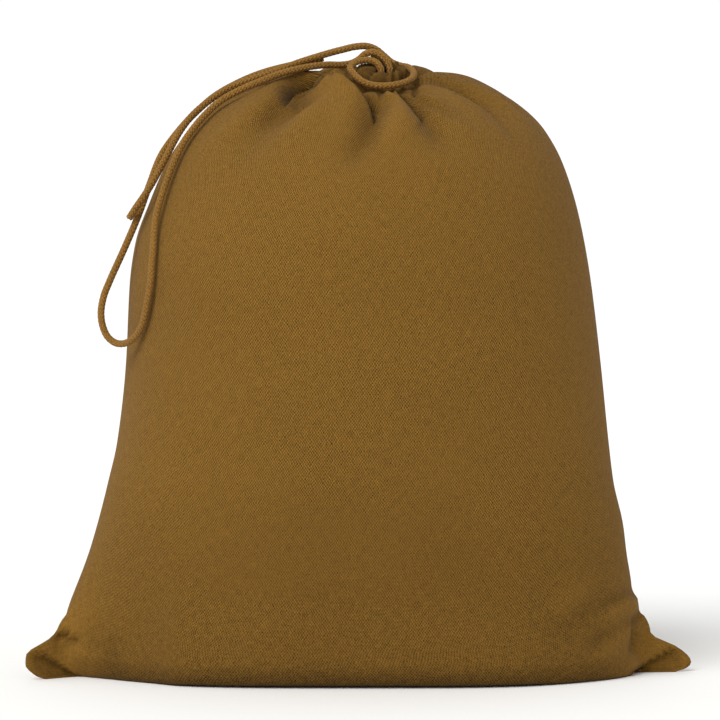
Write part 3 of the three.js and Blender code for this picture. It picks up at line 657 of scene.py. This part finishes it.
# height of the solids' folds and pleats over the smooth cloth
def foldRelief(place, lengths):
    below = np.maximum(0, neckLength - lengths)
    height = np.zeros_like(lengths)
    for atNeck, atBend, atEnd, reach, depth, width, zone in foldTable:
        middle = (atNeck + (atBend - atNeck) * smoothStep(0, folds["bendZone"], below)
                  + (atEnd - atBend) * smoothStep(folds["bendZone"], reach, below))
        least = math.copysign(min(folds["neckRelief"], abs(depth)), depth)
        deep = least + (depth - least) * smoothStep(0, zone, below)
        fade = 1 - smoothStep(folds["fade"] * reach, reach, below)
        x = np.abs(turnBetween(middle, place)) / width
        shoulder = np.exp(-((x - folds["shoulderPlace"]) ** 2) / folds["shoulderSpread"])
        height -= deep * fade * (np.exp(-x * x) - folds["shoulderHeight"] * shoulder)
    pleating = 1 - smoothStep(0, folds["pleatReach"], below)
    drift = folds["pleatDrift"] * math.sin(3 * math.pi * place)
    wave = 0.5 - 0.5 * math.cos(2 * math.pi * (folds["pleats"] * place + drift))
    return height - folds["pleatDepth"] * pleating * wave


def creaseRelief(place, lengths):
    below = neckLength - lengths
    height = np.zeros_like(lengths)
    early, late = creases["start"]
    for _, depth, width, stops in neckCreases:
        downs, rounds = zip(*stops)
        middle = curveThrough(downs, rounds)(np.clip(below, downs[0], downs[-1]))
        start = smoothStep(downs[0] + early, downs[0] + late, below)
        end = 1 - smoothStep(creases["fade"] * downs[-1], downs[-1] + creases["past"], below)
        x = np.abs(turnBetween(middle, place)) / width
        height -= depth * start * end * np.exp(-x ** creases["power"])
    return height


# distance from a line of points, which side of it (1 on its left), and the share of the way along it
def fromLine(x, z, line):
    best = np.full(x.shape, 1.0)
    side, along = np.zeros(x.shape), np.zeros(x.shape)
    for k, ((x0, z0), (x1, z1)) in enumerate(zip(line, line[1:])):
        runX, runZ = x1 - x0, z1 - z0
        t = np.clip(((x - x0) * runX + (z - z0) * runZ) / (runX ** 2 + runZ ** 2), 0, 1)
        away = np.hypot(x - x0 - t * runX, z - z0 - t * runZ)
        nearer = away < best
        best = np.where(nearer, away, best)
        side = np.where(nearer, np.sign((z - z0) * runX - (x - x0) * runZ), side)
        along = np.where(nearer, (k + t) / (len(line) - 1), along)
    return best, side, along


# height of the steps and swells of the front, and how dark the painted shadow is in the steps' gaps; in the
# ears the back panel moves with the front one
def seenRelief(points, lengths, shares, side):
    x, z = seenPlace(points)
    height, gapShadows = np.zeros_like(x), np.zeros_like(x)
    run = creases["stepRun"]
    for _, lip, tuck, lipRun, tuckRun, begin, end, gap, line in clothSteps:
        away, left, along = fromLine(x, z, line)
        ends = smoothStep(-run, begin, along) * (1 - smoothStep(1 - end, 1 + run, along))
        # painted shadow in each step's gap, darkest along its line
        paintedShade = ends * min(1, gap / creases["openGap"])
        gapShadows = np.maximum(gapShadows, paintedShade * np.exp(-(away / np.where(left > 0, creases["lipGap"], gap)) ** 2))
        dip = tuck * np.exp(-away / tuckRun) * smoothStep(0, creases["tuckStart"], away)
        height += ends * np.where(left > 0, lip * np.exp(-away / lipRun), -dip)
    for _, rise, width, line in clothSwells:
        away, _, along = fromLine(x, z, line)
        ends = smoothStep(*creases["swellStart"], along) * (1 - smoothStep(*creases["swellEnd"], along))
        height += rise * ends * np.exp(-(away / width) ** 2)
    outside = smoothStep(*creases["below"], neckLength - lengths)
    if side > 0:
        outside = -outside * shares * (1 - smoothStep(*creases["earTop"], points[..., 2]))
    return height * outside, gapShadows * np.maximum(0, outside)


# distances up the wall's sections and up the cloth, of the rows of one column of points
def rowsUp(across, side):
    depth = max(bag["earFloor"], floorDepth(across, side))
    low = np.arange(bag["floorRows"]) / bag["floorRows"] * depth
    closer = wallLength - bag["neckRows"]
    walls = np.concatenate([np.linspace(0, closer, round(closer / bag["wallStep"]), endpoint=False),
                            np.linspace(closer, wallLength, round(bag["neckRows"] / bag["neckStep"]) + 1)])
    return np.concatenate([low, depth + walls / wallLength * (bag["panelHeight"] - depth)])


def clothColumn(across, ups, side):
    depth = floorDepth(across, side)
    lengths = np.maximum(0, (ups - depth) / (bag["panelHeight"] - depth) * wallLength)
    points = wallPoints(np.full(len(ups), across), lengths, side)
    low = ~((ups > 0) & (ups >= depth))
    if low.any():
        seamX = bag["bottomSeam"][0] + (bag["bottomSeam"][1] - bag["bottomSeam"][0]) * across
        seam = bentPoints(np.array([seamX]), np.array([side * seamHalf(pinchAt(across, side))]), np.zeros(1))
        share = (ups[low] / depth)[:, None] if depth > 0 else np.zeros((low.sum(), 1))
        points[low] = seam + (points[low] - seam) * share
    return points, lengths


# in metres: x is the distance from the middle of the bag, and z the height
sides = {
    "shiftFrom": (0.13, 0.166),        # x over which the sides' wobbles come in
    "shiftTop": (0.085, 0.12),         # z over which they die out
    "shiftDepth": 0.06,                # how far they reach to the front and the back
    "evenFrom": (0.10, 0.13),          # the same for the evening out of the cloth at the ears' roots
    "evenTop": (0.07, 0.11),
    "evenFoot": (0.001, 0.006),
    "rounds": 30,
    "pinchHold": 0.85,                 # how well the side keeps its form where it tucks in behind an ear,
    "pinchPlace": 0.172,               # at this x, within this distance of it,
    "pinchHalf": 0.010,
    "pinchFoot": (0.010, 0.018),       # and between these two stretches of z
    "pinchTop": (0.032, 0.042),
}


def shiftSides(points):
    x, y, z = points[..., 0], points[..., 1], points[..., 2]
    for side, stops in sideShifts:
        heights, reaches = zip(*stops)
        reach = curveThrough(heights, reaches)(np.clip(z, heights[0], heights[-1]))
        reach = reach * (1 - smoothStep(*sides["shiftTop"], z)) * np.exp(-(y / sides["shiftDepth"]) ** 2)
        points[..., 0] += side * reach * smoothStep(*sides["shiftFrom"], side * x)
    return points


# evens out the cloth at the ears' roots, and keeps the seams
def evenEars(points):
    x, z = np.abs(points[..., 0]), points[..., 2]
    pinch = np.exp(-((x - sides["pinchPlace"]) / sides["pinchHalf"]) ** 2)
    pinch = pinch * smoothStep(*sides["pinchFoot"], z) * (1 - smoothStep(*sides["pinchTop"], z))
    share = smoothStep(*sides["evenFrom"], x) * (1 - smoothStep(*sides["evenTop"], z))
    share *= 1 - sides["pinchHold"] * pinch
    share *= smoothStep(*sides["evenFoot"], z)
    share[[0, -1]] = 0
    share[:, [0, -1]] = 0
    for _ in range(sides["rounds"]):
        middle = points.copy()
        beside = points[:-2, 1:-1] + points[2:, 1:-1]
        middle[1:-1, 1:-1] = (beside + points[1:-1, :-2] + points[1:-1, 2:]) / 4
        points = points + (middle - points) * share[..., None]
    return points


# turns the normals at a seam so that the two panels' cloth stays clear of each other
def squareToSeam(normals, points, side, share):
    _, across = earLine(points[:, 0], points[:, 2])
    flat = normals - across * (normals * across).sum(axis=1, keepdims=True)
    flat /= np.maximum(np.linalg.norm(flat, axis=1, keepdims=True), 1e-12)
    return flat * np.sqrt(1 - share ** 2)[:, None] + across * (side * share)[:, None]


# a closed sheet between an outer and an inner grid of points, with its corners' places in the grids
def sheetMesh(name, outer, inner, side):
    columns, rows = outer.shape[:2]
    near = np.arange(columns * rows).reshape(columns, rows)
    far = near + columns * rows
    bands = [
        (near[:-1, :-1], near[1:, :-1], near[1:, 1:], near[:-1, 1:]),
        (far[:-1, :-1], far[:-1, 1:], far[1:, 1:], far[1:, :-1]),
        (far[:-1, 0], far[1:, 0], near[1:, 0], near[:-1, 0]),
        (near[:-1, -1], near[1:, -1], far[1:, -1], far[:-1, -1]),
        (far[0, :-1], near[0, :-1], near[0, 1:], far[0, 1:]),
        (near[-1, :-1], far[-1, :-1], far[-1, 1:], near[-1, 1:]),
    ]
    faces = np.concatenate([np.stack(band, axis=-1).reshape(-1, 4) for band in bands])
    if side > 0:
        faces = faces[:, [0, 3, 2, 1]]
    points = np.concatenate([outer.reshape(-1, 3), inner.reshape(-1, 3)])
    data = bpy.data.meshes.new(name)
    data.from_pydata(points.tolist(), [], faces.tolist())
    data.polygons.foreach_set("use_smooth", np.ones(len(faces), bool))
    return data, faces


# one panel, front (side -1) or back (side 1), as a closed sheet with its cloth's own distances as UV
def panelMesh(name, side):
    smooth, heights, fine, ups, along, shares, pinches = [], [], [], [], [], [], []
    ends = bag["sideColumns"] / bag["panelWidth"]
    dense = bag["sideFactor"] * ends
    acrosses = np.interp(np.linspace(0, 1 + 2 * (dense - ends), bag["columns"] + 1),
                         [0, dense, 1 - 2 * ends + dense, 1 + 2 * (dense - ends)], [0, ends, 1 - ends, 1])
    for across in acrosses:
        up = rowsUp(across, side)
        points, lengths = clothColumn(across, up, side)
        place = across if side < 0 else 2 - across
        smooth.append(points)
        ups.append(up)
        along.append(lengths)
        shares.append(earShare(sectionsAt(lengths)))
        pinches.append(pinchAt(across, side))
        heights.append(foldRelief(place, lengths))
        fine.append(creaseRelief(place, lengths))
    smooth, ups, along, heights, fine, shares = (np.array(part)
                                                 for part in (smooth, ups, along, heights, fine, shares))
    smooth = evenEars(shiftSides(smooth))

    before = np.concatenate([smooth[:1], smooth[:-1]])
    after = np.concatenate([smooth[1:], smooth[-1:]])
    below = np.concatenate([smooth[:, :1], smooth[:, :-1]], axis=1)
    above = np.concatenate([smooth[:, 1:], smooth[:, -1:]], axis=1)
    normals = np.cross(after - before, above - below)
    normals *= -side / np.maximum(np.linalg.norm(normals, axis=-1, keepdims=True), 1e-12)
    for i in (0, -1):
        normals[i] = squareToSeam(normals[i], smooth[i], side, shares[i])
    normals[:, 0] = squareToSeam(normals[:, 0], smooth[:, 0], side, np.array(pinches))

    # the finer creases die out at the seams, where the panels meet
    fromSide = np.minimum(acrosses, 1 - acrosses)[:, None] * bag["panelWidth"]
    free = smoothStep(0, creases["free"], fromSide) * smoothStep(0, creases["free"], ups)
    seen, gapShadows = seenRelief(smooth + normals * heights[..., None], along, shares, side)
    sideFree, footFree = creases["stepFree"]
    fine = fine * free + seen * smoothStep(0, sideFree, fromSide) * smoothStep(0, footFree, ups)
    outer = smooth + normals * (heights + fine)[..., None]
    place = (acrosses if side < 0 else 2 - acrosses)[:, None]
    upper = np.exp(-((along - neckLength - creases["rimTop"]) / creases["rimHalf"]) ** 2)
    for middle, width, rise in rimFolds:
        outer[..., 2] += rise * upper * np.exp(-(turnBetween(middle, place) / width) ** 2)
    outer[..., 2] = np.maximum(outer[..., 2], 0)
    thin = 1 - bag["edgeThin"] * shares * (1 - smoothStep(0, bag["edgeReach"], fromSide))
    inner = outer - normals * (bag["cloth"] * thin)[..., None]
    inner[..., 2] = np.maximum(inner[..., 2], 0)
    data, faces = sheetMesh(name, outer, inner, side)

    across = np.broadcast_to(acrosses[:, None] * bag["panelWidth"], ups.shape)
    cloth = np.stack([across, ups], axis=-1).reshape(-1, 2)
    cloth = np.concatenate([cloth, cloth])
    layer = data.uv_layers.new(name="cloth")
    layer.data.foreach_set("uv", cloth[faces.ravel()].astype(np.float32).ravel())
    # the folds' relief and the creases, with the gaps' painted shadow, are kept to paint shade and light
    # into the canvas
    for kind, relief in (("relief", heights), ("crease", fine - creases["gapShadowDepth"] * gapShadows)):
        both = np.concatenate([relief.ravel()] * 2).astype(np.float32)
        data.attributes.new(kind, "FLOAT", "POINT").data.foreach_set("value", both)
    return data


# washed cotton canvas: plain weave of heavy threads, matt, with slubs and faded patches, with painted shade
# in the folds and towards the foot, and painted light on the folds' ridges
canvas = {
    "colour": "#775622",
    "warpPitch": 0.0008,               # the real one is 0.64 mm, too fine for the picture to hold
    "weftPitch": 0.00115,
    "weaveHeight": 0.00018,
    "wander": 0.0012,                  # how far the threads wander, so that they make no regular ripples,
    "wanderSize": 0.0035,              # and in how long a stretch
    "rubbedSize": 0.0024,              # size of the places where the threads are rubbed flat
    "rubbed": (0.3, 0.7, 0.52, 0.96),  # from and to this much noise, and the weave's contrast at each
    "rubbedEars": (0.10, 0.165, 1.0, 0.4),      # the same by distance from the middle, as a share of that,
    "rubbedFoot": (0.01, 0.12, 0.45, 1.0),      # and by height
    "slubs": 0.36,                     # how much lighter and darker they are, and their sizes across and up
    "slubSizes": ((0.001, 0.006), (0.0055, 0.0012)),
    "patch": 0.07,                     # the same for the faded patches
    "patchSize": 0.05,
    "folds": {                         # depth and height of the folds, and how dark their painted shade and how light their painted light are
        "relief": (-0.006, 0.003, -0.10, 0.05),
        "crease": (-0.010, 0.001, -0.84, 0.05),
    },
    "footShade": ((0.13, -0.25), (0.014, -0.30)),    # how high the painted shade towards the foot reaches, and how dark it is at the foot
    "footShadeEnd": (0.145, 0.172),         # distances from the middle over which it ends
}


def washedCanvas():
    material = newMaterial("washedCottonCanvas")
    tree = material.node_tree
    cloth = addNode(tree, "ShaderNodeUVMap", uv_map="cloth")
    place = addNode(tree, "ShaderNodeTexCoord", out="Object")
    spot = addNode(tree, "ShaderNodeSeparateXYZ", {0: place}, out=None).outputs
    sideways = addNode(tree, "ShaderNodeMath", {0: spot["X"]}, operation="ABSOLUTE")
    wander = addNode(tree, "ShaderNodeTexNoise", {"Vector": cloth, "Scale": 1 / canvas["wanderSize"],
                                                  "Detail": 1.0}, noise_dimensions="2D", out="Color")
    offset = addNode(tree, "ShaderNodeVectorMath", {0: wander, 1: (canvas["wander"],) * 3,
                                                    2: (-canvas["wander"] / 2,) * 3},
                     operation="MULTIPLY_ADD")
    threads = addNode(tree, "ShaderNodeVectorMath", {0: cloth, 1: offset}, operation="ADD")
    xy = addNode(tree, "ShaderNodeSeparateXYZ", {0: threads}, out=None).outputs
    waves = []
    for axis, pitch in (("X", canvas["warpPitch"]), ("Y", canvas["weftPitch"])):
        turn = addNode(tree, "ShaderNodeMath", {0: xy[axis], 1: math.pi / pitch}, operation="MULTIPLY")
        waves.append(addNode(tree, "ShaderNodeMath", {0: turn}, operation="SINE"))
    weave = addNode(tree, "ShaderNodeMath", {0: waves[0], 1: waves[1]}, operation="MULTIPLY")

    # the threads are rubbed flat in places, and at the ears and the foot
    uneven = addNode(tree, "ShaderNodeTexNoise", {"Vector": cloth, "Scale": 1 / canvas["rubbedSize"],
                                                  "Detail": 1.0}, noise_dimensions="2D", out="Fac")
    for value, name in ((uneven, "rubbed"), (sideways, "rubbedEars"), (spot["Z"], "rubbedFoot")):
        start, end, first, last = canvas[name]
        rubbed = addNode(tree, "ShaderNodeMapRange", {"Value": value, "From Min": start, "From Max": end,
                                                      "To Min": first, "To Max": last})
        weave = addNode(tree, "ShaderNodeMath", {0: weave, 1: rubbed}, operation="MULTIPLY")

    tones = [weave]
    for width, height in canvas["slubSizes"]:
        stretched = addNode(tree, "ShaderNodeVectorMath", {0: cloth, 1: (1 / width, 1 / height, 1.0)},
                            operation="MULTIPLY")
        noise = addNode(tree, "ShaderNodeTexNoise", {"Vector": stretched, "Scale": 1.0, "Detail": 2.0,
                                                     "Roughness": 0.6}, out="Fac")
        tones.append(addNode(tree, "ShaderNodeMath", {0: noise, 1: 2 * canvas["slubs"], 2: -canvas["slubs"]},
                             operation="MULTIPLY_ADD"))
    patches = addNode(tree, "ShaderNodeTexNoise", {"Vector": place, "Scale": 1 / canvas["patchSize"],
                                                   "Detail": 3.0, "Roughness": 0.55}, out="Fac")
    tones.append(addNode(tree, "ShaderNodeMath", {0: patches, 1: 2 * canvas["patch"], 2: -canvas["patch"]},
                         operation="MULTIPLY_ADD"))
    # painted shade in the troughs of the folds and creases, and painted light on their ridges
    for name, (low, high, paintedShade, light) in canvas["folds"].items():
        relief = addNode(tree, "ShaderNodeAttribute", attribute_name=name, out="Fac")
        tones.append(addNode(tree, "ShaderNodeMapRange", {"Value": relief, "From Min": low, "From Max": high,
                                                          "To Min": paintedShade, "To Max": light}))
    # painted shade, darker towards the foot of the body and fading out before the ears
    start, end = canvas["footShadeEnd"]
    body = addNode(tree, "ShaderNodeMapRange", {"Value": sideways, "From Min": start, "From Max": end,
                                                "To Min": 1.0, "To Max": 0.0})
    for top, paintedShade in canvas["footShade"]:
        footShaded = addNode(tree, "ShaderNodeMapRange", {"Value": spot["Z"], "From Max": top,
                                                      "To Min": paintedShade, "To Max": 0.0})
        tones.append(addNode(tree, "ShaderNodeMath", {0: footShaded, 1: body}, operation="MULTIPLY"))
    total = tones[0]
    for tone in tones[1:]:
        total = addNode(tree, "ShaderNodeMath", {0: total, 1: tone}, operation="ADD")
    gain = addNode(tree, "ShaderNodeMath", {0: total, 1: 1.0}, operation="ADD")
    colour = addNode(tree, "ShaderNodeVectorMath", {0: toLinear(canvas["colour"])[:3], "Scale": gain},
                     operation="SCALE")
    bump = addNode(tree, "ShaderNodeBump", {"Height": weave, "Strength": 1.0,
                                            "Distance": canvas["weaveHeight"]})
    shader = addNode(tree, "ShaderNodeBsdfPrincipled", {
        "Base Color": colour, "Roughness": 0.95, "Specular IOR Level": 0.08,
        "Sheen Weight": 0.03, "Sheen Roughness": 0.5, "Normal": bump})
    addNode(tree, "ShaderNodeOutputMaterial", {"Surface": shader}, out=None)
    return material


def makePanels():
    print("panels")
    material = washedCanvas()
    for name, node, side in (("frontPanel", "front_panel", -1), ("backPanel", "back_panel", 1)):
        data = panelMesh(name, side)
        piece = makeObject(name, data, material)
        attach(piece, "root")
        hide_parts(node)
        print("  %s %d faces" % (name, len(data.polygons)))


# Stage and light

studio = {
    "floor": "#f4f4f2",
    "floorSize": 6.0,
    "around": 0.70,                    # light from all round, and from the white wall far behind
    "behind": 1.05,
    "wall": (0.75, 0.95),              # how far a direction points to +Y where the wall begins and is whole
    "key": 2.1,                        # a large soft box, far to the left and in front
    "keyPlace": (-1.25, -1.7, 2.25),
    "keySpread": 34,                   # degrees that the box takes up, seen from the bag
}


def makeStudio():
    print("studio")
    half = studio["floorSize"] / 2
    data = bpy.data.meshes.new("floor")
    corners = [(-half, -half, 0), (half, -half, 0), (half, half, 0), (-half, half, 0)]
    data.from_pydata(corners, [], [(0, 1, 2, 3)])
    material = newMaterial("paintedBoard")
    tree = material.node_tree
    shader = addNode(tree, "ShaderNodeBsdfPrincipled", {"Base Color": toLinear(studio["floor"]),
                                                        "Roughness": 0.9, "Specular IOR Level": 0.1})
    addNode(tree, "ShaderNodeOutputMaterial", {"Surface": shader}, out=None)
    makeObject("floor", data, material)
    light = bpy.data.lights.new("key", "SUN")
    light.energy = studio["key"]
    light.angle = math.radians(studio["keySpread"])
    lamp = makeObject("key", light)
    lamp.location = studio["keyPlace"]
    lamp.rotation_euler = Vector(studio["keyPlace"]).to_track_quat("Z", "Y").to_euler()
    world = bpy.data.worlds.new("studio")
    world.use_nodes = True
    world.node_tree.nodes.clear()
    direction = addNode(world.node_tree, "ShaderNodeTexCoord", out="Generated")
    towards = addNode(world.node_tree, "ShaderNodeSeparateXYZ", {0: direction}, out="Y")
    start, whole = studio["wall"]
    strength = addNode(world.node_tree, "ShaderNodeMapRange", {
        "Value": towards, "From Min": start, "From Max": whole,
        "To Min": studio["around"], "To Max": studio["behind"]})
    sky = addNode(world.node_tree, "ShaderNodeBackground", {"Color": (1, 1, 1, 1), "Strength": strength})
    addNode(world.node_tree, "ShaderNodeOutputWorld", {"Surface": sky}, out=None)
    bpy.context.scene.world = world
    bpy.context.scene.view_settings.view_transform = "Standard"


makeCamera()
makeCords()
makePanels()
makeStudio()
